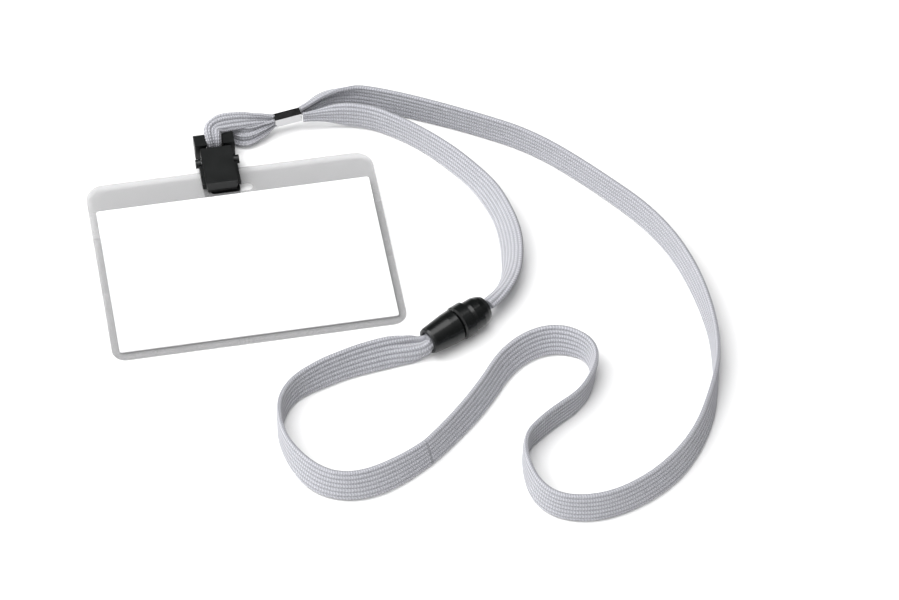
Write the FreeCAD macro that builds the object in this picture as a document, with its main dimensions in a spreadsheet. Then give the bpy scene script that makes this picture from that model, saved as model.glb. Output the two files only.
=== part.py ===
"""Lanyard badge holder: a clear card pocket, a moulded clip, a crimped ribbon lanyard and its buckle.

Everything lies on a table. X runs along the badge, Y up the badge to the clip, Z up. The origin is on the
table under the middle of the badge and clip. Millimetres.
"""
import FreeCAD, Part
import math
import os
import re

import Sketcher

V = FreeCAD.Vector

DRIVING = {
    # card and pocket
    "card_width": 90.0, "card_height": 60.0, "card_thick": 0.4, "card_gap": 0.12, "card_corner": 0.8,
    "pocket_width": 95.0, "pocket_height": 74.4, "film_thick": 0.4, "top_corner": 6.0, "low_corner": 4.5,
    "side_weld": 2.3, "low_weld": 2.6, "front_height": 51.0, "notch_width": 39.0, "notch_depth": 6.5,
    "notch_outset": 3.0, "notch_inset": 4.0, "notch_curve": 4.0, "card_rest": 0.2,
    "slot_width": 14.0, "slot_height": 3.2, "slot_below_edge": 8.6, "pocket_low_edge": -44.4,
    "pocket_lift": 0.05, "pocket_tilt": 1.45,
    # clip
    "clip_centre": -3.0, "bar_place": 42.0, "bar_height": 3.9, "bar_radius": 1.0, "cheek_radius": 2.4,
    "cheek_thick": 3.8, "head_half": 6.6, "head_foot": 38.1, "plate_thick": 1.4, "plate_top": 40.8,
    "plate_low": 20.4, "plate_half_top": 6.2, "plate_half_low": 5.9, "plate_corner": 1.2, "neck_half": 4.6,
    "neck_foot": 35.2, "pin_place": 33.0, "pin_height": 3.2, "pin_radius": 0.6, "pin_play": 0.04,
    "lug_radius": 1.7, "lug_thick": 0.85, "lug_gap": 0.15, "boss_radius": 1.5, "boss_long": 1.0,
    "knuckle_radius": 1.6, "peg_width": 5.0, "peg_depth": 1.2, "peg_place": 21.8, "peg_top": 4.4,
    "tooth_tall": 0.2, "tooth_wide": 0.6, "tooth_step": 1.4, "tooth_count": 4.0, "tooth_first": 24.2,
    "tooth_inset": 0.7, "tooth_root": 0.4,
    "jaw_top": 6.3, "jaw_under": 3.7, "jaw_head": 36.8, "jaw_half": 5.2, "jaw_half_low": 4.8, "jaw_low": 20.3,
    "lip_length": 0.6, "lip_drop": 2.6, "lip_taper": 1.2, "wing_half": 6.33, "wing_low": 22.2,
    "wing_high": 30.8, "wing_foot": 2.6, "wing_top": 4.6, "wing_notch": 0.55, "wing_notch_low": 25.2,
    "wing_notch_high": 26.4, "ridge_foot": 2.45, "ridge_wide": 0.6, "ridge_inset": 0.3, "upper_ridge": 26.8,
    "socket_play": 0.3, "socket_top": 4.7,
    # crimp
    "crimp_left": 17.9, "crimp_long": 9.2, "crimp_place": 46.1, "crimp_turn": 10.0, "crimp_wide": 3.2,
    "crimp_tall": 3.2, "crimp_wall": 0.4, "crimp_centre": 5.2, "crimp_seam": 0.3,
    # ribbon
    "ribbon_wide": 10.0, "ribbon_thick": 1.6, "ribbon_centre": 5.2, "fold_tall": 4.6, "fold_thick": 2.2,
    "wrap_thick": 1.5, "wrap_wide": 5.0, "wrap_gap": 0.12, "leg_reach": 3.2, "leg_split": 0.05,
    # breakaway buckle, measured along its axis from the plug's mouth
    "buckle_long": 23.2, "buckle_turn": 28.5, "buckle_x": 51.4, "buckle_y": -58.2, "axis_height": 5.8,
    "plug_end": 11.4, "joint_gap": 0.25, "mouth_radius": 4.1, "mouth_lip": 0.8, "plug_radius": 5.4,
    "bore_radius": 3.0, "bore_deep": 8.4, "stem_radius": 2.1, "bulb_radius": 2.55, "stem_reach": 16.0,
    "bulb_long": 1.6, "socket_radius": 5.0, "collar_radius": 5.7, "collar_long": 4.0, "dome_start": 19.8,
    "dome_radius": 3.9, "nest_radius": 2.75, "nest_deep": 16.6, "cup_depth": 1.1, "flare_long": 3.4,
    "wedge_long": 4.4, "wedge_inset": 1.2, "wedge_play": 0.05, "slit_tall": 4.7, "slit_thick": 2.3,
    "stem_slit": 0.7,
}
# Neck ribbon: route points in plan, from the crimp round to the plug, and from the socket to the crimp.
LONG_ROUTE = [
    (27.3, 48.9), (36.0, 52.9), (48.0, 52.8), (62.0, 46.4), (82.0, 34.9), (100.4, 22.6), (117.2, 2.8),
    (134.0, -21.0), (141.2, -46.0), (142.2, -76.0), (132.8, -104.4), (116.6, -123.8), (93.0, -133.8),
    (74.2, -128.0), (72.0, -105.2), (82.4, -96.4), (97.4, -87.4), (103.2, -70.4), (91.4, -61.0),
    (76.0, -66.8), (63.6, -83.4), (49.0, -97.8), (44.0, -102.0),
]
PLUG_ROUTE = [
    (43.2, -102.7), (28.4, -111.4), (8.6, -109.4), (-1.4, -89.2), (2.8, -70.6), (20.4, -62.4),
    (38.0, -59.0), (50.9, -58.5),
]
SHORT_ROUTE = [
    (72.1, -46.8), (79.6, -38.6), (85.4, -22.0), (84.6, -3.0), (76.8, 14.8), (61.5, 34.4), (44.0, 46.4),
    (27.6, 46.2),
]
ROUND_SHARE = 0.45


def make_sheet(doc):
    """The driving dimensions, one row each: name, value and alias."""
    sheet = doc.addObject("Spreadsheet::Sheet", "Dimensions")
    for row, (name, value) in enumerate(DRIVING.items(), 1):
        sheet.set(f"A{row}", name)
        sheet.set(f"B{row}", str(value))
        sheet.setAlias(f"B{row}", name)
    doc.recompute()
    return sheet


def formula(text):
    """A sizing formula with each driving dimension's name turned into its reference in the sheet."""
    return re.sub(r"[a-z]+(?:_[a-z]+)+", lambda found: "Dimensions." + found.group(0), text)


def size(name):
    """One driving dimension as the sheet holds it."""
    return float(SHEET.get(name))


def bind(thing, **formulas):
    """Bind properties to formulas; a double underscore in a name stands for a dot."""
    for name, text in formulas.items():
        thing.setExpression(name.replace("__", "."), formula(text))
    return thing


def place(thing, x="0", y="0", z="0"):
    """Bind a placement's position."""
    return bind(thing, Placement__Base__x=x, Placement__Base__y=y, Placement__Base__z=z)


def box(name, span, corner):
    """A Part::Box from formulas for its three sizes and its low corner."""
    block = DOC.addObject("Part::Box", name)
    bind(block, Length=span[0], Width=span[1], Height=span[2])
    return place(block, *corner)


def bar_along_x(name, radius, length, start):
    """A Part::Cylinder whose axis runs along +X from start."""
    rod = DOC.addObject("Part::Cylinder", name)
    rod.Placement = FreeCAD.Placement(V(0, 0, 0), FreeCAD.Rotation(V(0, 1, 0), 90))
    bind(rod, Radius=radius, Height=length)
    return place(rod, *start)


def fuse(name, shapes):
    """The union of several objects."""
    joined = DOC.addObject("Part::MultiFuse", name)
    joined.Shapes = shapes
    return joined


def cut(name, base, tool):
    """One object less another."""
    rest = DOC.addObject("Part::Cut", name)
    rest.Base = base
    rest.Tool = tool
    return rest


def new_body(name):
    """A PartDesign body with its label."""
    body = DOC.addObject("PartDesign::Body", name)
    body.Label = name
    return body


def sketch_on(body, name, role, corners):
    """A closed outline through corners given as formulas, on one of the body's origin planes."""
    sketch = body.newObject("Sketcher::SketchObject", name)
    plane = next(feature for feature in body.Origin.OriginFeatures if feature.Role == role)
    sketch.AttachmentSupport = [(plane, "")]
    sketch.MapMode = "FlatFace"
    count = len(corners)
    turns = [2 * math.pi * index / count for index in range(count)]
    starts = [V(20 * math.cos(turn), 20 * math.sin(turn), 0) for turn in turns]
    for index in range(count):
        sketch.addGeometry(Part.LineSegment(starts[index], starts[(index + 1) % count]), False)
    for index in range(count):
        sketch.addConstraint(Sketcher.Constraint("Coincident", index, 2, (index + 1) % count, 1))
    for index, (across, along) in enumerate(corners):
        start = starts[index]
        for kind, text, now in (("DistanceX", across, start.x), ("DistanceY", along, start.y)):
            number = sketch.addConstraint(Sketcher.Constraint(kind, -1, 1, index, 1, now))
            sketch.setExpression(f"Constraints[{number}]", formula(text))
    return sketch


def pad(body, name, sketch, length, back="0"):
    """A pad of the sketch, raised by length from a plane that stands back above the sketch's own."""
    bind(sketch, AttachmentOffset__Base__z=back)
    feature = body.newObject("PartDesign::Pad", name)
    feature.Profile = sketch
    return bind(feature, Length=length)


def pocket(body, name, sketch, length, back="0"):
    """A pocket of the sketch, cut upwards by length from a plane that stands back above the sketch's own."""
    DOC.recompute()
    before = body.Tip.Shape.Volume
    bind(sketch, AttachmentOffset__Base__z=back)
    feature = body.newObject("PartDesign::Pocket", name)
    feature.Profile = sketch
    feature.Reversed = True
    bind(feature, Length=length)
    DOC.recompute()
    assert feature.Shape.Volume < before - 1, name
    return feature


def spin(body, name, sketch, kind="PartDesign::Revolution"):
    """A full turn of the sketch about its own horizontal axis."""
    feature = body.newObject(kind, name)
    feature.Profile = sketch
    feature.ReferenceAxis = (sketch, ["H_Axis"])
    feature.Angle = 360.0
    return feature


def upright_edges(shape, test):
    """Names of the shape's straight edges along Z whose middle passes the test."""
    names = []
    for number, edge in enumerate(shape.Edges, 1):
        ends = edge.Vertexes
        if len(ends) == 2 and edge.Curve.TypeId == "Part::GeomLine":
            step = ends[1].Point - ends[0].Point
            if abs(step.z) > 0.05 and math.hypot(step.x, step.y) < 1e-6 and test(edge.CenterOfMass):
                names.append(f"Edge{number}")
    return names


def round_corners(body, name, radius, test):
    """Fillet the body's upright edges that pass the test."""
    DOC.recompute()
    tip = body.Tip
    fillet = body.newObject("PartDesign::Fillet", name)
    fillet.Base = (tip, upright_edges(tip.Shape, test))
    return bind(fillet, Radius=radius)


def rectangle(half_wide, low, high):
    """Corners of an upright rectangle, symmetric across X."""
    return [(f"-({half_wide})", low), (half_wide, low), (half_wide, high), (f"-({half_wide})", high)]


def tilt_pocket_part(body):
    """Set a pocket layer on the table at its low edge, tilted up to the clip."""
    tilt = FreeCAD.Rotation(V(1, 0, 0), size("pocket_tilt"))
    body.Placement = FreeCAD.Placement(V(0, size("pocket_low_edge"), size("pocket_lift")), tilt)
    return body


def back_film():
    """The whole back of the pocket, with the slot for the clip in the band above the card."""
    body = new_body("pocket_back_film")
    outline = sketch_on(body, "back_outline", "XY_Plane", rectangle("pocket_width/2", "0", "pocket_height"))
    pad(body, "back_sheet", outline, "film_thick")
    slot = rectangle("slot_width/2", "pocket_height - slot_below_edge - slot_height/2",
                     "pocket_height - slot_below_edge + slot_height/2")
    pocket(body, "slot_cut", sketch_on(body, "slot_outline", "XY_Plane", slot), "film_thick")
    round_corners(body, "slot_ends", "slot_height/2 - 0.01",
                  lambda at: abs(at.x) < 0.6 * size("slot_width") and at.y > size("front_height"))
    round_corners(body, "back_low_corners", "low_corner", lambda at: at.y < 1)
    round_corners(body, "back_top_corners", "top_corner", lambda at: at.y > size("pocket_height") - 1)
    return tilt_pocket_part(body)


def front_film():
    """The front of the pocket: a shallow tray over the card, welded to the back along three sides."""
    body = new_body("pocket_front_film")
    half = "notch_width/2"
    low = "front_height - notch_depth"
    outline = [("-(pocket_width/2)", "0"), ("pocket_width/2", "0"), ("pocket_width/2", "front_height"),
               (f"{half} + notch_outset", "front_height"), (f"{half} - notch_inset", low),
               (f"-({half}) + notch_inset", low), (f"-({half}) - notch_outset", "front_height"),
               ("-(pocket_width/2)", "front_height")]
    tall = "card_thick + 2*card_gap + film_thick"
    pad(body, "front_sheet", sketch_on(body, "front_outline", "XY_Plane", outline), tall, "film_thick")
    room = rectangle("pocket_width/2 - side_weld", "low_weld", "front_height + 1")
    pocket(body, "card_room", sketch_on(body, "room_outline", "XY_Plane", room),
           "card_thick + 2*card_gap", "film_thick")
    round_corners(body, "notch_curves", "notch_curve",
                  lambda at: abs(at.x) < 0.35 * size("pocket_width") and at.y > size("notch_width"))
    round_corners(body, "front_low_corners", "low_corner",
                  lambda at: at.y < 1 and abs(at.x) > size("card_width") / 2)
    return tilt_pocket_part(body)


def name_card():
    """The plain card that lies between the films."""
    body = new_body("name_card")
    corners = rectangle("card_width/2", "low_weld + card_rest", "low_weld + card_rest + card_height")
    pad(body, "card_sheet", sketch_on(body, "card_outline", "XY_Plane", corners), "card_thick",
        "film_thick + card_gap")
    round_corners(body, "card_corners", "card_corner", lambda at: True)
    return tilt_pocket_part(body)


def clip_piece(body):
    """Set a clip part at the clip's place along the slot."""
    return place(body, "clip_centre")


def clip_base():
    """Back plate, two cheeks with the ribbon bar between them, the hinge lugs, the peg and the grip teeth."""
    body = new_body("clip_base")
    outline = [("-plate_half_low", "plate_low"), ("plate_half_low", "plate_low"),
               ("plate_half_top", "neck_foot"), ("neck_half", "neck_foot"), ("neck_half", "head_foot"),
               ("head_half", "head_foot"), ("head_half", "plate_top"), ("-head_half", "plate_top"),
               ("-head_half", "head_foot"), ("-neck_half", "head_foot"), ("-neck_half", "neck_foot"),
               ("-plate_half_top", "neck_foot")]
    pad(body, "back_plate", sketch_on(body, "plate_outline", "XY_Plane", outline), "plate_thick")
    round_corners(body, "plate_corners", "plate_corner", lambda at: at.y < size("plate_low") + 0.5)
    peg = [("-peg_width/2", "peg_place - peg_depth/2"), ("peg_width/2", "peg_place - peg_depth/2"),
           ("peg_width/2", "peg_place + peg_depth/2"), ("-peg_width/2", "peg_place + peg_depth/2")]
    pad(body, "peg", sketch_on(body, "peg_outline", "XY_Plane", peg), "peg_top - plate_thick/2",
        "plate_thick/2")
    DOC.recompute()
    pieces = [body]
    for number in range(int(size("tooth_count"))):
        pieces.append(box(f"tooth_{number}",
                          ("2*(plate_half_low - tooth_inset)", "tooth_wide", "tooth_tall + tooth_root"),
                          ("-plate_half_low + tooth_inset", f"tooth_first + {number}*tooth_step",
                           "plate_thick - tooth_root")))
    for name, side in (("left", -1), ("right", 1)):
        inner = "head_half - cheek_thick"
        start = inner if side > 0 else "-head_half"
        disc = bar_along_x(f"cheek_disc_{name}", "cheek_radius", "cheek_thick",
                           (start, "bar_place", "bar_height"))
        web = box(f"cheek_web_{name}", ("cheek_thick", "bar_place - head_foot", "bar_height + cheek_radius"),
                  (start, "head_foot", "0"))
        arch = box(f"cheek_relief_{name}",
                   ("cheek_thick", "bar_place - plate_top", "bar_height - cheek_radius"),
                   (start, "plate_top", "0"))
        pieces += [disc, cut(f"cheek_side_{name}", web, arch)]
        start = "plate_half_top - lug_thick" if side > 0 else "-plate_half_top"
        end = "plate_half_top - lug_thick" if side > 0 else "-plate_half_top - boss_long"
        pieces.append(bar_along_x(f"lug_disc_{name}", "lug_radius", "lug_thick",
                                  (start, "pin_place", "pin_height")))
        pieces.append(bar_along_x(f"pivot_boss_{name}", "boss_radius", "lug_thick + boss_long",
                                  (end, "pin_place", "pin_height")))
        pieces.append(box(f"lug_web_{name}", ("lug_thick", "2*lug_radius", "pin_height"),
                          (start, "pin_place - lug_radius", "0")))
    pieces.append(bar_along_x("ribbon_bar", "bar_radius", "2*head_half - cheek_thick",
                              ("-head_half + cheek_thick/2", "bar_place", "bar_height")))
    bore = bar_along_x("lug_bore", "pin_radius", "2*plate_half_top",
                       ("-plate_half_top", "pin_place", "pin_height"))
    whole = cut("clip_base_piece", fuse("clip_base_solid", pieces), bore)
    return clip_piece(whole), "clip_base"


def clip_jaw():
    """The front plate with its wings, steep lip, gripping ridges, hinge knuckle and peg recess."""
    body = new_body("jaw_plate")
    outline = [("-jaw_half_low", "jaw_low"), ("jaw_half_low", "jaw_low"), ("jaw_half", "jaw_low + lip_taper"),
               ("jaw_half", "jaw_head"), ("-jaw_half", "jaw_head"), ("-jaw_half", "jaw_low + lip_taper")]
    pad(body, "jaw_slab", sketch_on(body, "jaw_outline", "XY_Plane", outline), "jaw_top - jaw_under",
        "jaw_under")
    bevel = [("jaw_low - 1", "jaw_top - lip_drop - lip_drop/lip_length"), ("jaw_low + lip_length", "jaw_top"),
             ("jaw_low + lip_length", "jaw_top + 1"), ("jaw_low - 1", "jaw_top + 1")]
    lip = sketch_on(body, "lip_bevel", "YZ_Plane", bevel)
    groove = body.newObject("PartDesign::Pocket", "lip_slope")
    groove.Profile = lip
    groove.SideType = "Symmetric"
    bind(groove, Length="3*jaw_half")
    DOC.recompute()
    inner = "wing_half - wing_notch"
    edge = [("wing_half", "wing_low"), ("wing_half", "wing_notch_low"), (inner, "wing_notch_low"),
            (inner, "wing_notch_high"), ("wing_half", "wing_notch_high"), ("wing_half", "wing_high")]
    around = edge + [(f"-({across})", along) for across, along in reversed(edge)]
    wings = new_body("jaw_wings")
    pad(wings, "wing_slab", sketch_on(wings, "wing_outline", "XY_Plane", around), "wing_top - wing_foot",
        "wing_foot")
    pieces = [body, wings]
    for name, start in (("lip_ridge", "jaw_low + ridge_inset"), ("inner_ridge", "upper_ridge")):
        pieces.append(box(name, ("2*jaw_half_low", "ridge_wide", "jaw_top - ridge_foot - lip_drop/2"),
                          ("-jaw_half_low", start, "ridge_foot")))
    knuckle = "plate_half_top - lug_thick - lug_gap"
    pieces.append(bar_along_x("knuckle", "knuckle_radius", f"2*({knuckle})",
                              (f"-({knuckle})", "pin_place", "pin_height")))
    pieces.append(box("knuckle_web",
                      (f"2*({knuckle})", "2*knuckle_radius", "jaw_top - pin_height - lip_drop/2"),
                      (f"-({knuckle})", "pin_place - knuckle_radius", "pin_height")))
    bore = bar_along_x("jaw_bore", "pin_radius + pin_play", "2*plate_half_top + 2",
                       ("-plate_half_top - 1", "pin_place", "pin_height"))
    recess = box("peg_recess",
                 ("peg_width + 2*socket_play", "peg_depth + 2*socket_play", "socket_top - ridge_foot"),
                 ("-peg_width/2 - socket_play", "peg_place - peg_depth/2 - socket_play", "ridge_foot"))
    whole = cut("clip_jaw_piece", fuse("clip_jaw_solid", pieces), fuse("jaw_hollows", [bore, recess]))
    return clip_piece(whole), "clip_jaw"


def hinge_pin():
    """The steel pin that joins the jaw to the lugs."""
    pin = bar_along_x("clip_hinge_pin", "pin_radius", "2*plate_half_top", ("0", "0", "0"))
    return place(pin, "clip_centre - plate_half_top", "pin_place", "pin_height"), "clip_hinge_pin"


def turned(x, y, z, degrees):
    """A placement at a point, turned about Z."""
    return FreeCAD.Placement(V(x, y, z), FreeCAD.Rotation(V(0, 0, 1), degrees))


def crimp():
    """The pressed metal sleeve round both ribbons, open along a seam underneath, and the ribbon inside it."""
    body = new_body("crimp_ferrule")
    half, tall, wall = "crimp_wide/2", "crimp_tall/2", "crimp_wall"
    ring = [("crimp_seam/2", f"-({tall})"), (half, f"-({tall})"), (half, tall), (f"-({half})", tall),
            (f"-({half})", f"-({tall})"), ("-crimp_seam/2", f"-({tall})"),
            ("-crimp_seam/2", f"-({tall}) + {wall}"),
            (f"-({half}) + {wall}", f"-({tall}) + {wall}"), (f"-({half}) + {wall}", f"{tall} - {wall}"),
            (f"{half} - {wall}", f"{tall} - {wall}"), (f"{half} - {wall}", f"-({tall}) + {wall}"),
            ("crimp_seam/2", f"-({tall}) + {wall}")]
    pad(body, "sleeve", sketch_on(body, "sleeve_outline", "YZ_Plane", ring), "crimp_long")
    at = turned(size("crimp_left"), size("crimp_place"), size("crimp_centre"), size("crimp_turn"))
    body.Placement = at
    filling = DOC.addObject("Part::Box", "ribbon_in_crimp")
    bind(filling, Length="crimp_long", Width="crimp_wide - 2*crimp_wall", Height="crimp_tall - 2*crimp_wall")
    filling.Placement = at.multiply(FreeCAD.Placement(V(0, -size("crimp_wide") / 2 + size("crimp_wall"),
                                                        -size("crimp_tall") / 2 + size("crimp_wall")),
                                                      FreeCAD.Rotation()))
    return [(body, "crimp_ferrule"), (filling, "ribbon_in_crimp")]


def along_buckle(distance=0.0):
    """The placement of a point on the buckle's axis, with local X along the axis from plug to socket."""
    turn = math.radians(size("buckle_turn"))
    return turned(size("buckle_x") + distance * math.cos(turn), size("buckle_y") + distance * math.sin(turn),
                  size("axis_height"), size("buckle_turn"))


def buckle_plug():
    """The plug half: tapered shell, scalloped end, and the split stem with its bulb."""
    body = new_body("buckle_plug")
    profile = [("0", "bore_radius"), ("0", "mouth_radius"), ("mouth_lip", "mouth_radius + 0.35"),
               ("plug_end - flare_long", "plug_radius - 0.15"), ("plug_end - 0.6", "plug_radius"),
               ("plug_end", "plug_radius - 0.5"), ("plug_end - cup_depth", "stem_radius"),
               ("stem_reach - bulb_long - 0.6", "stem_radius"), ("stem_reach - bulb_long", "bulb_radius"),
               ("stem_reach - 0.7", "bulb_radius"), ("stem_reach", "stem_radius - 0.4"), ("stem_reach", "0"),
               ("bore_deep", "0"), ("bore_deep", "bore_radius")]
    spin(body, "plug_turn", sketch_on(body, "plug_profile", "XY_Plane", profile))
    slit = [("plug_end + 0.3", "-stem_slit/2"), ("stem_reach + 1", "-stem_slit/2"),
            ("stem_reach + 1", "stem_slit/2"), ("plug_end + 0.3", "stem_slit/2")]
    split = body.newObject("PartDesign::Pocket", "stem_split")
    split.Profile = sketch_on(body, "split_outline", "XY_Plane", slit)
    split.SideType = "Symmetric"
    bind(split, Length="4*bulb_radius")
    body.Placement = along_buckle()
    return body, "buckle_plug"


def buckle_socket():
    """The socket half: collar, shoulder, domed end and the nest that the stem snaps into."""
    body = new_body("buckle_socket")
    lip = "plug_end + joint_gap"
    profile = [(lip, "collar_radius - 0.6"), (f"{lip} + 0.5", "collar_radius"),
               (f"{lip} + collar_long", "collar_radius"),
               (f"{lip} + collar_long + 0.6", "socket_radius - 0.3"),
               (f"{lip} + collar_long + 1.6", "socket_radius"), ("dome_start", "socket_radius"),
               ("dome_start + 1.8", "socket_radius - 0.45"), ("buckle_long - 0.4", "dome_radius + 0.1"),
               ("buckle_long", "dome_radius - 0.4"), ("buckle_long", "bore_radius"),
               ("nest_deep + 0.9", "bore_radius"), ("nest_deep + 0.9", "0"), ("nest_deep", "0"),
               ("nest_deep", "nest_radius"), (f"{lip}", "nest_radius")]
    spin(body, "socket_turn", sketch_on(body, "socket_profile", "XY_Plane", profile))
    body.Placement = along_buckle()
    return body, "buckle_socket"


def ribbon_anchor(side, start):
    """One buckle half's grooved wedge and the folded ribbon end that it holds."""
    wedge = new_body(f"{side}_ribbon_wedge")
    ring = [("0", "0"), ("wedge_long", "0"), ("wedge_long", "bore_radius - wedge_play"),
            ("0", "bore_radius - wedge_play")]
    spin(wedge, f"{side}_wedge_turn", sketch_on(wedge, f"{side}_wedge_profile", "XY_Plane", ring))
    slit = [("-1", "-slit_thick/2"), ("wedge_long + 1", "-slit_thick/2"), ("wedge_long + 1", "slit_thick/2"),
            ("-1", "slit_thick/2")]
    opening = wedge.newObject("PartDesign::Pocket", f"{side}_slit")
    opening.Profile = sketch_on(wedge, f"{side}_slit_outline", "XY_Plane", slit)
    opening.SideType = "Symmetric"
    bind(opening, Length="slit_tall")
    wedge.Placement = along_buckle(start)
    end = DOC.addObject("Part::Box", f"{side}_ribbon_end")
    reach = size("wedge_inset") + size("wedge_long")
    mouth = start - size("wedge_inset") if side == "plug" else start
    end.Length = reach
    bind(end, Width="fold_thick", Height="fold_tall")
    low = V(0, -size("fold_thick") / 2, -size("fold_tall") / 2)
    end.Placement = along_buckle(mouth).multiply(FreeCAD.Placement(low, FreeCAD.Rotation()))
    return [(wedge, f"{side}_ribbon_wedge"), (end, f"{side}_ribbon_end")]


def rounded_path(route):
    """Straight runs joined by tangent arcs; each radius is as large as the two runs at its point allow."""
    points = [V(x, y, 0) for x, y in route]
    edges, radii, start = [], [], points[0]
    for before, corner, after in zip(points, points[1:], points[2:]):
        back, ahead = before - corner, after - corner
        turn = math.pi - back.getAngle(ahead)
        shorter = min(back.Length, ahead.Length)
        radius = ROUND_SHARE * shorter / math.tan(turn / 2)
        trim = ROUND_SHARE * shorter
        first = corner + back.normalize() * trim
        last = corner + ahead.normalize() * trim
        inward = (back + ahead).normalize()
        middle = corner + inward * (math.hypot(radius, trim) - radius)
        edges += [Part.LineSegment(start, first).toShape(), Part.Arc(first, middle, last).toShape()]
        radii.append(radius)
        start = last
    edges.append(Part.LineSegment(start, points[-1]).toShape())
    return Part.Wire(edges), radii


def ribbon_stretch(name, route):
    """A stretch of ribbon standing on its edge along its route."""
    path, radii = rounded_path(route)
    wide, thick = size("ribbon_wide"), size("ribbon_thick")
    low = size("ribbon_centre") - wide / 2
    first = path.Edges[0]
    along = first.tangentAt(first.FirstParameter)
    side = V(-along.y, along.x, 0) * (thick / 2)
    start = first.valueAt(first.FirstParameter)
    profile = Part.makePolygon([start - side, start + side, start + side + V(0, 0, wide),
                                start - side + V(0, 0, wide), start - side])
    solid = path.makePipeShell([profile], True, True)
    if solid.Volume < 0:
        solid.reverse()
    ribbon = DOC.addObject("Part::Feature", name)
    ribbon.Shape = solid
    ribbon.Placement = FreeCAD.Placement(V(0, 0, low), FreeCAD.Rotation())
    share = solid.Volume / (path.Length * wide * thick)
    print(f"{name}: length {path.Length:.1f} mm, volume over section times length {share:.4f}, "
          f"radii {[round(radius, 1) for radius in radii]}")
    return ribbon, name


def feature(name, shape):
    """A Part::Feature of its own for one shape."""
    thing = DOC.addObject("Part::Feature", name)
    thing.Shape = shape
    return thing, name


def clip_loop():
    """The ribbon's bight round the clip's bar, and its two legs gathered into the crimp."""
    wide, reach = size("wrap_wide"), size("leg_reach")
    inner = size("bar_radius") + size("wrap_gap")
    outer = inner + size("wrap_thick")
    start = V(size("clip_centre") - wide / 2, size("bar_place"), size("bar_height"))

    def bight(radius, extra):
        """A solid bight of one radius round the bar, open towards the crimp."""
        round_end = Part.makeCylinder(radius, wide, start, V(1, 0, 0))
        return round_end.fuse(Part.makeBox(wide, reach + extra, 2 * radius, start - V(0, 0, radius)))

    pieces = [feature("ribbon_bar_loop", bight(outer, 0).cut(bight(inner, 1)))]
    mouth = turned(size("crimp_left"), size("crimp_place"), size("crimp_centre"), size("crimp_turn"))
    half_wide = size("crimp_wide") / 2 - size("crimp_wall")
    half_tall = size("crimp_tall") / 2 - size("crimp_wall")
    for name, sign in (("ribbon_front_leg", 1), ("ribbon_rear_leg", -1)):
        spans = ((0, inner), (wide, inner), (wide, outer), (0, outer))
        near = [start + V(across, reach, sign * rise) for across, rise in spans]
        split = size("leg_split")
        spans = ((half_wide, split), (-half_wide, split), (-half_wide, half_tall), (half_wide, half_tall))
        far = [mouth.multVec(V(0, across, sign * rise)) for across, rise in spans]
        profiles = [Part.makePolygon(corners + corners[:1]) for corners in (near, far)]
        pieces.append(feature(name, Part.makeLoft(profiles, True, True)))
    return pieces


def export(pieces):
    """Check every object and write each piece's shape to its own file."""
    for thing in DOC.Objects:
        bad = [state for state in thing.State if state in ("Invalid", "Error")]
        assert not bad, (thing.Name, thing.State)
    os.makedirs("parts", exist_ok=True)
    for thing, name in pieces:
        shape = thing.Shape
        assert not shape.isNull() and shape.isValid(), name
        assert shape.Volume > 0 and len(shape.Solids) == 1, (name, shape.Volume, len(shape.Solids))
        thing.Label = name
        shape.exportStep(f"parts/{name}.step")
        box_now = shape.BoundBox
        print(f"{name}: volume {shape.Volume:.1f} mm3, x {box_now.XMin:.2f}..{box_now.XMax:.2f}, "
              f"y {box_now.YMin:.2f}..{box_now.YMax:.2f}, z {box_now.ZMin:.2f}..{box_now.ZMax:.2f}")


DOC = FreeCAD.newDocument("lanyard_badge_holder")
SHEET = make_sheet(DOC)
PIECES = [(back_film(), "pocket_back_film"), (front_film(), "pocket_front_film"), (name_card(), "name_card")]
PIECES += [clip_base(), clip_jaw(), hinge_pin()]
PIECES += crimp()
PIECES += [buckle_plug(), buckle_socket()]
PIECES += ribbon_anchor("plug", size("wedge_inset"))
PIECES += ribbon_anchor("socket", size("buckle_long") - size("wedge_inset") - size("wedge_long"))
PIECES += [ribbon_stretch("ribbon_long", LONG_ROUTE), ribbon_stretch("ribbon_plug_side", PLUG_ROUTE),
           ribbon_stretch("ribbon_short", SHORT_ROUTE)]
PIECES += clip_loop()
DOC.recompute()
export(PIECES)
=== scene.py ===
"""Lanyard badge holder: looks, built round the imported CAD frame. Metres unless a name says otherwise."""
import math

import bmesh
import bpy
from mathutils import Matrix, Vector


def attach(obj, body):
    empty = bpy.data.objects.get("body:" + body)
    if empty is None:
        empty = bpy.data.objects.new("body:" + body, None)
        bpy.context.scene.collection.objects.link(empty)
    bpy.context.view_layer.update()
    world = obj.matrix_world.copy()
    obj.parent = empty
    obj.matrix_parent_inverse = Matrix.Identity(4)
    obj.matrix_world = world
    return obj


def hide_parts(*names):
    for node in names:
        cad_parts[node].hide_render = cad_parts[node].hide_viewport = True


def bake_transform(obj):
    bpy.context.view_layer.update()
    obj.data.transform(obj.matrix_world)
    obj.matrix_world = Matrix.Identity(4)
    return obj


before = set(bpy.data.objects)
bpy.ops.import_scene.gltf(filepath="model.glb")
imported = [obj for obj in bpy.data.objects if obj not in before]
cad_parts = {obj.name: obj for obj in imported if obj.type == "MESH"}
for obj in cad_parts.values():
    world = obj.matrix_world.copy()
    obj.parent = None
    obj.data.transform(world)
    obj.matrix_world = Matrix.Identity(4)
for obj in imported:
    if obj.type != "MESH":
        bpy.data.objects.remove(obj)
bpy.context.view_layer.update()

MM = 0.001
UP = Vector((0, 0, 1))

# Camera: a long lens, looking down at the table from in front.
CAMERA_AZIMUTH = 10.1
CAMERA_ELEVATION = 48.8
CAMERA_DISTANCE = 1.445
CAMERA_TARGET = Vector((0.0621, -0.0372, 0.0))
CAMERA_LENS = 180.2

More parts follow.
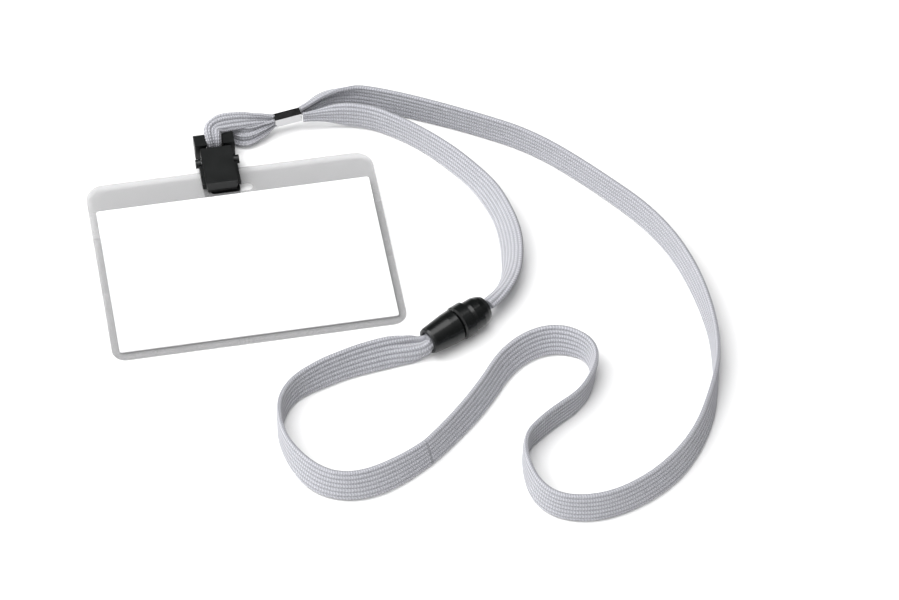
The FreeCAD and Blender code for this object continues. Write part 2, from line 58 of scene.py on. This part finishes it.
# Ribbon: a flat woven tube.
RIBBON_WIDE = 10.0 * MM
RIBBON_THICK = 1.5 * MM
RIBBON_RIBS = 7
RIB_DEPTH = 0.16 * MM
RIB_SAMPLES = 4
RING_STEP = 0.8 * MM
STITCH = 0.86 * MM
PLEAT = 0.5 * MM
PLEAT_WAVES = 2
CREASE_PLACE = 0.18
CREASE_WIDE = 0.09
TABLE_GAP = 0.1 * MM
LEAN_PASSES = 12
EASE_PASSES = 3
LINE_RESOLUTION = 24

# Surroundings: directions of the dark patch of ceiling and of the dimmer side, and where each begins and
# ends as a cosine from that direction.
DARK_WAY = (0.12, 0.66, 0.74)
DARK_EDGES = (0.55, 0.85)
DIM_WAY = (0.88, -0.46, 0.05)
DIM_EDGES = (0.0, 0.9)
WORLD_BRIGHT = 1.0
WORLD_DARK = 0.02
WORLD_DIM = 0.15

# Each route point: x, y in millimetres, then how the ribbon is held there. lean is in degrees from
# upright, positive to the left of travel; curl is how far its width is rolled up, negative rolls it the
# other way; scale is how far it is squeezed; the last number is the depth of a lengthwise crease in
# millimetres, where there is one.
LONG_ROUTE = [
    (27.3, 48.9, 5, 150, 0.36, 0.3), (36.0, 52.7, 8, 130, 0.80, 1.2), (42.0, 53.0, 9, 80, 0.95, 1.2),
    (48.0, 52.3, 10, 20, 1.0, 0.4), (62.0, 45.9, 7, 0, 1.0), (82.0, 34.4, 5, 0, 1.0),
    (100.4, 22.1, 6, 0, 1.0),
    (117.0, 2.5, 7, 0, 1.0), (133.7, -21.2, 11, 0, 1.0), (141.0, -46.0, 13, 0, 1.0),
    (142.1, -76.2, 8, 0, 1.0), (132.8, -104.8, -15, 0, 1.0), (116.6, -124.4, -22, 0, 1.0),
    (93.0, -134.4, -18, 0, 1.0), (74.2, -128.4, -12, 0, 1.0), (72.0, -105.4, -2, 0, 1.0),
    (82.4, -96.6, 3, 0, 1.0), (97.6, -87.6, 0, 0, 1.0), (103.8, -70.9, -12, 0, 1.0),
    (91.4, -61.8, -30, 0, 1.0), (76.2, -67.2, -28, 0, 1.0), (63.8, -83.8, -26, 0, 1.0),
    (49.2, -98.0, -20, 0, 1.0), (44.0, -102.0, -18, 0, 1.0),
]
PLUG_ROUTE = [
    (44.0, -102.0, -18, 0, 1.0), (28.4, -112.0, -28, 0, 1.0), (8.6, -110.0, -22, 0, 1.0),
    (-1.4, -89.2, -4, 0, 1.0), (2.8, -70.8, 10, 0, 1.0), (20.4, -62.7, 28, 0, 1.0),
    (38.0, -59.0, 42, -20, 1.02, 0.4), (45.5, -59.0, 46, -100, 1.0, 1.3), (50.9, -58.2, 50, -215, 0.95, 1.5),
    (53.0, -57.2, 50, -240, 0.85, 1.3),
]
SHORT_ROUTE = [
    (72.1, -46.8, -30, 230, 0.96), (80.6, -39.2, -40, 90, 1.0), (86.0, -22.4, -44, 15, 1.0),
    (84.8, -3.2, -30, 0, 1.0), (76.8, 14.4, -14, 0, 1.0), (61.5, 34.0, -6, 0, 1.0),
    (44.0, 46.2, -10, 30, 0.95), (27.6, 46.2, -15, 140, 0.36),
]
# The strap through the clip: x, y, z in millimetres, the way its width points there, then its curl, its
# squeeze and the depth of its pleats in millimetres.
STRAP_ROUTE = [
    (18.2, 47.0, 5.5, (0.0, 0.2, 1.0), 60, 0.29, 0.30), (12.5, 46.9, 6.2, (0.0, 0.6, 0.8), 90, 0.48, 0.50),
    (6.0, 46.6, 7.0, (0.0, 0.75, 0.66), 120, 0.74, 0.40), (0.3, 45.8, 7.6, (-0.4, 0.7, 0.6), 120, 0.84, 0.40),
    (-3.2, 43.6, 8.0, (-0.9, 0.35, 0.25), 90, 0.70, 0.45),
    (-3.1, 40.9, 7.4, (-1.0, 0.0, 0.0), 50, 0.58, 0.40), (-3.0, 39.3, 5.6, (-1.0, 0.0, 0.0), 10, 0.52, 0.25),
    (-3.0, 39.7, 2.2, (-1.0, 0.0, 0.0), 5, 0.50, 0.25),
    (-3.0, 42.6, 1.9, (-1.0, 0.0, 0.0), 5, 0.50, 0.30), (-2.2, 45.6, 2.0, (-0.8, 0.6, 0.1), 10, 0.52, 0.45),
    (3.2, 46.0, 2.6, (-0.2, 0.85, 0.45), 10, 0.58, 0.65), (7.4, 42.2, 2.8, (0.0, 0.80, 0.60), 10, 0.66, 0.65),
    (12.8, 43.4, 3.9, (0.0, 0.6, 0.8), 30, 0.50, 0.60), (18.2, 45.4, 5.1, (0.0, 0.3, 0.95), 60, 0.29, 0.30),
]
MOUTH_HEIGHT = {"crimp": 5.2 * MM, "buckle": 5.8 * MM}

# What is on each stretch of the neck ribbon.
CRIMP_PIECES = ("crimp_ferrule", "ribbon_in_crimp")
PLUG_PIECES = ("buckle_plug", "plug_ribbon_wedge", "plug_ribbon_end")
SOCKET_PIECES = ("buckle_socket", "socket_ribbon_wedge", "socket_ribbon_end")


# ---------------------------------------------------------------- materials

def material(name, color, roughness, **sockets):
    """A Principled material; other sockets are given by name with underscores for spaces."""
    made = bpy.data.materials.new(name)
    made.use_nodes = True
    shader = made.node_tree.nodes["Principled BSDF"]
    shader.inputs["Base Color"].default_value = (*color, 1)
    shader.inputs["Roughness"].default_value = roughness
    for key, value in sockets.items():
        shader.inputs[key.replace("_", " ")].default_value = value
    return made, made.node_tree, shader


def add(tree, kind, **values):
    """A new node; keyword names are its properties, or its inputs where it has no such property."""
    node = tree.nodes.new(kind)
    for key, value in values.items():
        if hasattr(node, key):
            setattr(node, key, value)
        else:
            node.inputs[key.replace("_", " ")].default_value = value
    return node


def mix_colors(tree, factor, low, high):
    """A colour between two, by a factor socket."""
    ramp = tree.nodes.new("ShaderNodeValToRGB")
    ramp.color_ramp.elements[0].color = (*low, 1)
    ramp.color_ramp.elements[1].color = (*high, 1)
    tree.links.new(factor, ramp.inputs["Fac"])
    return ramp.outputs["Color"]


def math_node(tree, operation, *inputs):
    """A math node whose inputs are sockets or numbers."""
    node = tree.nodes.new("ShaderNodeMath")
    node.operation = operation
    for index, value in enumerate(inputs):
        if isinstance(value, (int, float)):
            node.inputs[index].default_value = value
        else:
            tree.links.new(value, node.inputs[index])
    return node.outputs[0]


def bump(tree, shader, height, strength, distance):
    """Surface relief from a height socket."""
    node = tree.nodes.new("ShaderNodeBump")
    node.inputs["Strength"].default_value = strength
    node.inputs["Distance"].default_value = distance
    tree.links.new(height, node.inputs["Height"])
    tree.links.new(node.outputs["Normal"], shader.inputs["Normal"])


def object_noise(tree, scale, detail):
    """Noise in the object's own coordinates, as a factor socket."""
    place = tree.nodes.new("ShaderNodeTexCoord")
    noise = add(tree, "ShaderNodeTexNoise", Scale=scale, Detail=detail)
    tree.links.new(place.outputs["Object"], noise.inputs["Vector"])
    return noise.outputs["Fac"]


def uneven_gloss(tree, shader, factor, spread, lowest):
    """Roughness from lowest upwards, by a factor socket."""
    gloss = math_node(tree, "ADD", math_node(tree, "MULTIPLY", factor, spread), lowest)
    tree.links.new(gloss, shader.inputs["Roughness"])


def ribbon_fabric():
    """Pale woven polyester: rows of slanted stitches along each rib; painted shade darkens the grooves and
    stitch hollows.
    """
    made, tree, shader = material("ribbon_weave", (0.5, 0.5, 0.54), 0.72, Sheen_Weight=0.35,
                                  Sheen_Roughness=0.5, Specular_IOR_Level=0.25)
    weave = tree.nodes.new("ShaderNodeUVMap")
    weave.uv_map = "weave"
    split = tree.nodes.new("ShaderNodeSeparateXYZ")
    tree.links.new(weave.outputs["UV"], split.inputs[0])
    across, along = split.outputs["X"], split.outputs["Y"]
    rib = math_node(tree, "PINGPONG", across, 0.5)
    slant = math_node(tree, "ADD", along, math_node(tree, "MULTIPLY", rib, 0.9))
    stitch = math_node(tree, "SINE", math_node(tree, "MULTIPLY", slant, 2 * math.pi))
    groove = math_node(tree, "POWER", math_node(tree, "MULTIPLY", rib, 2.0), 0.6)
    height = math_node(tree, "MULTIPLY", math_node(tree, "ADD", stitch, 2.2), groove)
    fine = object_noise(tree, 900.0, 3.0)
    total = math_node(tree, "ADD", height, math_node(tree, "MULTIPLY", fine, 0.5))
    bump(tree, shader, total, 0.55, 0.0004)
    # Painted shade: the colour follows the weave's relief, darker in the rib grooves and stitch hollows, with
    # a little random tone from the fine noise.
    painted_groove_shade_and_tone = math_node(tree, "MULTIPLY", total, 0.29)
    tree.links.new(mix_colors(tree, painted_groove_shade_and_tone, (0.22, 0.225, 0.245), (0.58, 0.58, 0.63)),
                   shader.inputs["Base Color"])
    return made


def black_plastic(name, roughness, grain):
    """Moulded black plastic with a fine even grain and slightly uneven gloss."""
    made, tree, shader = material(name, (0.006, 0.006, 0.006), roughness, Specular_IOR_Level=0.36)
    cloud = object_noise(tree, 140.0, 2.0)
    bump(tree, shader, object_noise(tree, grain, 4.0), 0.12, 0.0001)
    uneven_gloss(tree, shader, cloud, 0.14, roughness - 0.07)
    tree.links.new(mix_colors(tree, cloud, (0.003, 0.0035, 0.0035), (0.008, 0.009, 0.009)),
                   shader.inputs["Base Color"])
    return made


def clear_film(name, alpha, tint):
    """Soft clear film: glossy, slightly grey, a little wavy."""
    made, tree, shader = material(name, tint, 0.12, Alpha=alpha, Specular_IOR_Level=0.4)
    wave = object_noise(tree, 35.0, 2.0)
    bump(tree, shader, wave, 0.25, 0.0008)
    uneven_gloss(tree, shader, wave, 0.1, 0.08)
    return made


def paper_card():
    """Smooth white card with a faint fibre."""
    made, tree, shader = material("card_paper", (0.93, 0.93, 0.935), 0.6)
    fibre = object_noise(tree, 1400.0, 3.0)
    bump(tree, shader, fibre, 0.1, 0.00005)
    tree.links.new(mix_colors(tree, fibre, (0.91, 0.91, 0.915), (0.95, 0.95, 0.955)),
                   shader.inputs["Base Color"])
    return made


def plated_metal(name, color, roughness):
    """Plated metal with faint drawing marks."""
    made, tree, shader = material(name, color, roughness, Metallic=1.0)
    marks = object_noise(tree, 700.0, 2.0)
    bump(tree, shader, marks, 0.08, 0.00005)
    uneven_gloss(tree, shader, marks, 0.12, roughness - 0.06)
    return made


FABRIC = ribbon_fabric()
CLIP_PLASTIC = black_plastic("clip_plastic", 0.34, 2600.0)
BUCKLE_PLASTIC = black_plastic("buckle_plastic", 0.22, 2000.0)
WEDGE_PLASTIC = black_plastic("wedge_plastic", 0.55, 1800.0)
BACK_FILM = clear_film("back_film", 0.36, (0.33, 0.33, 0.335))
FRONT_FILM = clear_film("front_film", 0.10, (0.42, 0.42, 0.425))
CARD = paper_card()
CRIMP_METAL = plated_metal("crimp_metal", (0.50, 0.50, 0.51), 0.16)
PIN_STEEL = plated_metal("pin_steel", (0.56, 0.57, 0.58), 0.3)


def dress(node, finish, edge=0.0):
    """Give a CAD node its finish, and soften its edges."""
    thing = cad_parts[node]
    thing.data.materials.clear()
    thing.data.materials.append(finish)
    if edge:
        soft = thing.modifiers.new("soft_edges", "BEVEL")
        soft.width = edge
        soft.segments = 2
        soft.limit_method = "ANGLE"
        soft.angle_limit = math.radians(40)


# ---------------------------------------------------------------- ribbon

def smooth_line(name, points):
    """Points, about a millimetre apart, on the smooth NURBS line that has these control points."""
    curve = bpy.data.curves.new(name, "CURVE")
    curve.dimensions = "3D"
    spline = curve.splines.new("NURBS")
    spline.points.add(len(points) - 1)
    for point, place in zip(spline.points, points):
        point.co = (*place, 1)
    spline.order_u = 3
    spline.use_endpoint_u = True
    spline.resolution_u = LINE_RESOLUTION
    holder = bpy.data.objects.new(name, curve)
    bpy.context.collection.objects.link(holder)
    line = bpy.data.meshes.new_from_object(holder)
    found = [vertex.co.copy() for vertex in line.vertices]
    bpy.data.objects.remove(holder)
    bpy.data.meshes.remove(line)
    return evenly(found, RING_STEP)


def evenly(points, step):
    """The same line with its points a set distance apart."""
    lengths = [0.0]
    for first, second in zip(points, points[1:]):
        lengths.append(lengths[-1] + (second - first).length)
    count = max(2, round(lengths[-1] / step))
    out, at = [], 0
    for index in range(count + 1):
        want = lengths[-1] * index / count
        while at < len(points) - 2 and lengths[at + 1] < want:
            at += 1
        share = (want - lengths[at]) / max(lengths[at + 1] - lengths[at], 1e-9)
        out.append(points[at].lerp(points[at + 1], min(1.0, max(0.0, share))))
    return out


def spread_values(line, stations, values):
    """One value for each point of the line, eased between the values at the route's stations."""
    marks, start = [], 0
    for number, station in enumerate(stations):
        if number == len(stations) - 1:
            start = len(line) - 1
        elif number:
            start = min(range(start, len(line)), key=lambda index: (line[index] - station).length)
        marks.append(start)
    out = []
    for index in range(len(line)):
        after = next((number for number, mark in enumerate(marks) if mark >= index), len(marks) - 1)
        before = max(0, after - 1)
        gap = max(1, marks[after] - marks[before])
        share = min(1.0, max(0.0, (index - marks[before]) / gap)) if after else 0.0
        eased = share * share * (3 - 2 * share)
        out.append(values[before] + (values[after] - values[before]) * eased)
    return out


def softened(values, passes):
    """The same values with their changes spread out."""
    for _ in range(passes):
        inner = [(a + 2 * b + c) / 4 for a, b, c in zip(values, values[1:], values[2:])]
        values = [values[0]] + inner + [values[-1]]
    return values


def section():
    """The flat tube's outline: (across in widths, depth in thicknesses, rib groove, u) round both faces."""
    outline = []
    count = RIBBON_RIBS * RIB_SAMPLES
    for side in (1, -1):
        for index in range(count):
            across = side * (0.5 - index / count)
            crown = (1 - abs(2 * across) ** 5) ** 0.5
            groove = abs(math.sin(math.pi * RIBBON_RIBS * (across + 0.5))) ** 0.7
            outline.append((across, side * 0.5 * crown, side * groove * crown, (across + 0.5) * RIBBON_RIBS))
    return outline


def ribbon_mesh(name, line, fronts, curls, scales, pleats, creases):
    """A woven ribbon along a line. fronts are the width directions; its curl opens to along x front."""
    outline = section()
    shape = bmesh.new()
    weave = shape.loops.layers.uv.new("weave")
    rings, marks, travelled = [], [], 0.0
    for index, centre in enumerate(line):
        before, after = line[max(0, index - 1)], line[min(len(line) - 1, index + 1)]
        along = (after - before).normalized()
        width_way = (fronts[index] - along * fronts[index].dot(along)).normalized()
        face = along.cross(width_way)
        wide = RIBBON_WIDE * scales[index]
        thick = RIBBON_THICK * (0.5 + 0.5 * scales[index])
        curl = math.radians(curls[index] if abs(curls[index]) > 0.5 else 0.5)
        radius = wide / curl
        centroid = radius * (1 - math.sin(curl / 2) / (curl / 2))
        ring = []
        for across, depth, groove, _ in outline:
            lift = depth * thick + RIB_DEPTH * groove
            lift += pleats[index] * math.cos(2 * math.pi * PLEAT_WAVES * across)
            lift -= creases[index] * math.exp(-((across - CREASE_PLACE) / CREASE_WIDE) ** 2)
            turn = across * curl
            out = face * (radius - (radius - lift) * math.cos(turn) - centroid)
            ring.append(shape.verts.new(centre + out + width_way * ((radius - lift) * math.sin(turn))))
        if index:
            travelled += (centre - line[index - 1]).length
        rings.append(ring)
        marks.append(travelled / STITCH)
    count = len(outline)
    for number, (ring, following) in enumerate(zip(rings, rings[1:])):
        for index in range(count):
            ahead = (index + 1) % count
            panel = shape.faces.new((ring[index], ring[ahead], following[ahead], following[index]))
            low, high = marks[number], marks[number + 1]
            first, second = outline[index][3], outline[ahead][3]
            spots = ((first, low), (second, low), (second, high), (first, high))
            for loop, spot in zip(panel.loops, spots):
                loop[weave].uv = spot
            panel.smooth = True
    shape.faces.new(list(reversed(rings[0])))
    shape.faces.new(rings[-1])
    bmesh.ops.recalc_face_normals(shape, faces=shape.faces)
    mesh = bpy.data.meshes.new(name)
    shape.to_mesh(mesh)
    shape.free()
    mesh.materials.append(FABRIC)
    made = bpy.data.objects.new(name, mesh)
    bpy.context.collection.objects.link(made)
    return made


def neck_ribbon(name, route, first_height, last_height):
    """A stretch of the neck ribbon lying on its edge along its route: the piece and the line it follows."""
    points = []
    for number, (x, y, lean, *_) in enumerate(route):
        angle = math.radians(lean)
        tall = RIBBON_WIDE * abs(math.cos(angle)) + RIBBON_THICK * abs(math.sin(angle))
        rest = tall / 2 + TABLE_GAP
        height = first_height if number == 0 and first_height else rest
        height = last_height if number == len(route) - 1 and last_height else height
        points.append(Vector((x * MM, y * MM, height)))
    line = smooth_line(name + "_line", points)
    leans = softened(spread_values(line, points, [row[2] for row in route]), LEAN_PASSES)
    curls = softened(spread_values(line, points, [row[3] for row in route]), EASE_PASSES)
    scales = softened(spread_values(line, points, [row[4] for row in route]), EASE_PASSES)
    fronts = []
    for index in range(len(line)):
        along = (line[min(index + 1, len(line) - 1)] - line[max(index - 1, 0)]).normalized()
        left = UP.cross(along).normalized()
        angle = math.radians(leans[index])
        fronts.append(UP * math.cos(angle) + left * math.sin(angle))
    pleats = [PLEAT * (1 - scale) for scale in scales]
    depths = [row[5] * MM if len(row) > 5 else 0.0 for row in route]
    creases = softened(spread_values(line, points, depths), EASE_PASSES)
    return ribbon_mesh(name, line, fronts, curls, scales, pleats, creases), line


def make_neck():
    """The three neck stretches, one ribbon piece each."""
    crimp, buckle = MOUTH_HEIGHT["crimp"], MOUTH_HEIGHT["buckle"]
    rows = (
        ("neck_ribbon_long", LONG_ROUTE, crimp, None, "ribbon_long", CRIMP_PIECES),
        ("neck_ribbon_plug_side", PLUG_ROUTE, None, buckle, "ribbon_plug_side", PLUG_PIECES),
        ("neck_ribbon_short", SHORT_ROUTE, buckle, crimp, "ribbon_short", SOCKET_PIECES),
    )
    for name, route, first_height, last_height, node, ends in rows:
        piece, line = neck_ribbon(name, route, first_height, last_height)
        if node == "ribbon_plug_side":
            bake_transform(piece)
        else:
            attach(piece, "lanyard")
        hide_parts(node)


def make_strap():
    """The ribbon's folded bight through the clip, from the crimp round the bar and back."""
    points = [Vector(row[:3]) * MM for row in STRAP_ROUTE]
    line = smooth_line("clip_strap_line", points)
    ways = [[row[3][axis] for row in STRAP_ROUTE] for axis in range(3)]
    parts = [softened(spread_values(line, points, way), EASE_PASSES) for way in ways]
    fronts = [Vector(part).normalized() for part in zip(*parts)]
    curls = softened(spread_values(line, points, [row[4] for row in STRAP_ROUTE]), EASE_PASSES)
    scales = softened(spread_values(line, points, [row[5] for row in STRAP_ROUTE]), EASE_PASSES)
    pleats = softened(spread_values(line, points, [row[6] * MM for row in STRAP_ROUTE]), EASE_PASSES)
    strap = ribbon_mesh("clip_strap", line, fronts, curls, scales, pleats, [0.0] * len(line))
    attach(strap, "lanyard")
    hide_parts("ribbon_bar_loop", "ribbon_front_leg", "ribbon_rear_leg")


make_neck()
make_strap()

# ---------------------------------------------------------------- CAD nodes' finishes

dress("pocket_back_film", BACK_FILM)
dress("pocket_front_film", FRONT_FILM)
dress("name_card", CARD)
dress("clip_base", CLIP_PLASTIC, 0.2 * MM)
dress("clip_jaw", CLIP_PLASTIC, 0.25 * MM)
dress("clip_hinge_pin", PIN_STEEL)
dress("crimp_ferrule", CRIMP_METAL, 0.15 * MM)
for node_name in ("ribbon_in_crimp", "plug_ribbon_end", "socket_ribbon_end"):
    dress(node_name, FABRIC)
dress("buckle_plug", BUCKLE_PLASTIC, 0.12 * MM)
dress("buckle_socket", BUCKLE_PLASTIC, 0.12 * MM)
dress("plug_ribbon_wedge", WEDGE_PLASTIC)
dress("socket_ribbon_wedge", WEDGE_PLASTIC)


# ---------------------------------------------------------------- stage

def make_floor():
    """A plain white table."""
    bpy.ops.mesh.primitive_plane_add(size=6, location=(0, 0, 0))
    floor = bpy.context.object
    floor.name = "floor"
    made, _, _ = material("floor_white", (0.92, 0.92, 0.92), 0.7)
    floor.data.materials.append(made)


def area_light(name, place, target, size, power):
    """A soft square light aimed at a point."""
    lamp = bpy.data.lights.new(name, "AREA")
    lamp.size = size
    lamp.energy = power
    holder = bpy.data.objects.new(name, lamp)
    bpy.context.collection.objects.link(holder)
    holder.location = place
    holder.rotation_euler = (Vector(target) - Vector(place)).to_track_quat("-Z", "Y").to_euler()


def make_camera():
    """The camera at the photograph's viewing angle."""
    azimuth, elevation = math.radians(CAMERA_AZIMUTH), math.radians(CAMERA_ELEVATION)
    ahead = Vector((math.sin(azimuth) * math.cos(elevation), math.cos(azimuth) * math.cos(elevation),
                    -math.sin(elevation)))
    lens = bpy.data.cameras.new("camera")
    lens.lens = CAMERA_LENS
    lens.sensor_width = 36.0
    lens.clip_end = 20.0
    holder = bpy.data.objects.new("camera", lens)
    bpy.context.collection.objects.link(holder)
    holder.location = CAMERA_TARGET - ahead * CAMERA_DISTANCE
    holder.rotation_euler = ahead.to_track_quat("-Z", "Y").to_euler()
    bpy.context.scene.camera = holder


def fade(tree, place, way, edges, outside, inside):
    """A value that eases from outside to inside as the view turns towards a direction."""
    toward = add(tree, "ShaderNodeVectorMath", operation="DOT_PRODUCT")
    toward.inputs[1].default_value = way
    tree.links.new(place.outputs["Generated"], toward.inputs[0])
    ease = add(tree, "ShaderNodeMapRange", interpolation_type="SMOOTHSTEP")
    ease.inputs["From Min"].default_value, ease.inputs["From Max"].default_value = edges
    ease.inputs["To Min"].default_value = outside
    ease.inputs["To Max"].default_value = inside
    tree.links.new(toward.outputs["Value"], ease.inputs["Value"])
    return ease.outputs["Result"]


def make_world():
    """White surroundings, dimmer to the right, with a dark patch of ceiling beyond the table."""
    world = bpy.data.worlds.new("studio")
    bpy.context.scene.world = world
    world.use_nodes = True
    tree = world.node_tree
    place = tree.nodes.new("ShaderNodeTexCoord")
    ceiling = fade(tree, place, DARK_WAY, DARK_EDGES, WORLD_BRIGHT, WORLD_DARK)
    side = fade(tree, place, DIM_WAY, DIM_EDGES, 1.0, WORLD_DIM)
    strength = math_node(tree, "MULTIPLY", ceiling, side)
    tree.links.new(strength, tree.nodes["Background"].inputs["Strength"])
    tree.nodes["Background"].inputs["Color"].default_value = (1, 1, 1, 1)


make_floor()
make_camera()
make_world()
area_light("overhead", (-0.15, 0.15, 1.7), (0.05, -0.04, 0), 1.4, 25)
area_light("key_left", (-1.1, 0.5, 1.2), (0.05, -0.04, 0), 1.0, 15)
area_light("left_front", (-0.7, -0.9, 1.0), (0.05, -0.04, 0), 0.9, 5)
bpy.context.scene.view_settings.view_transform = "Standard"
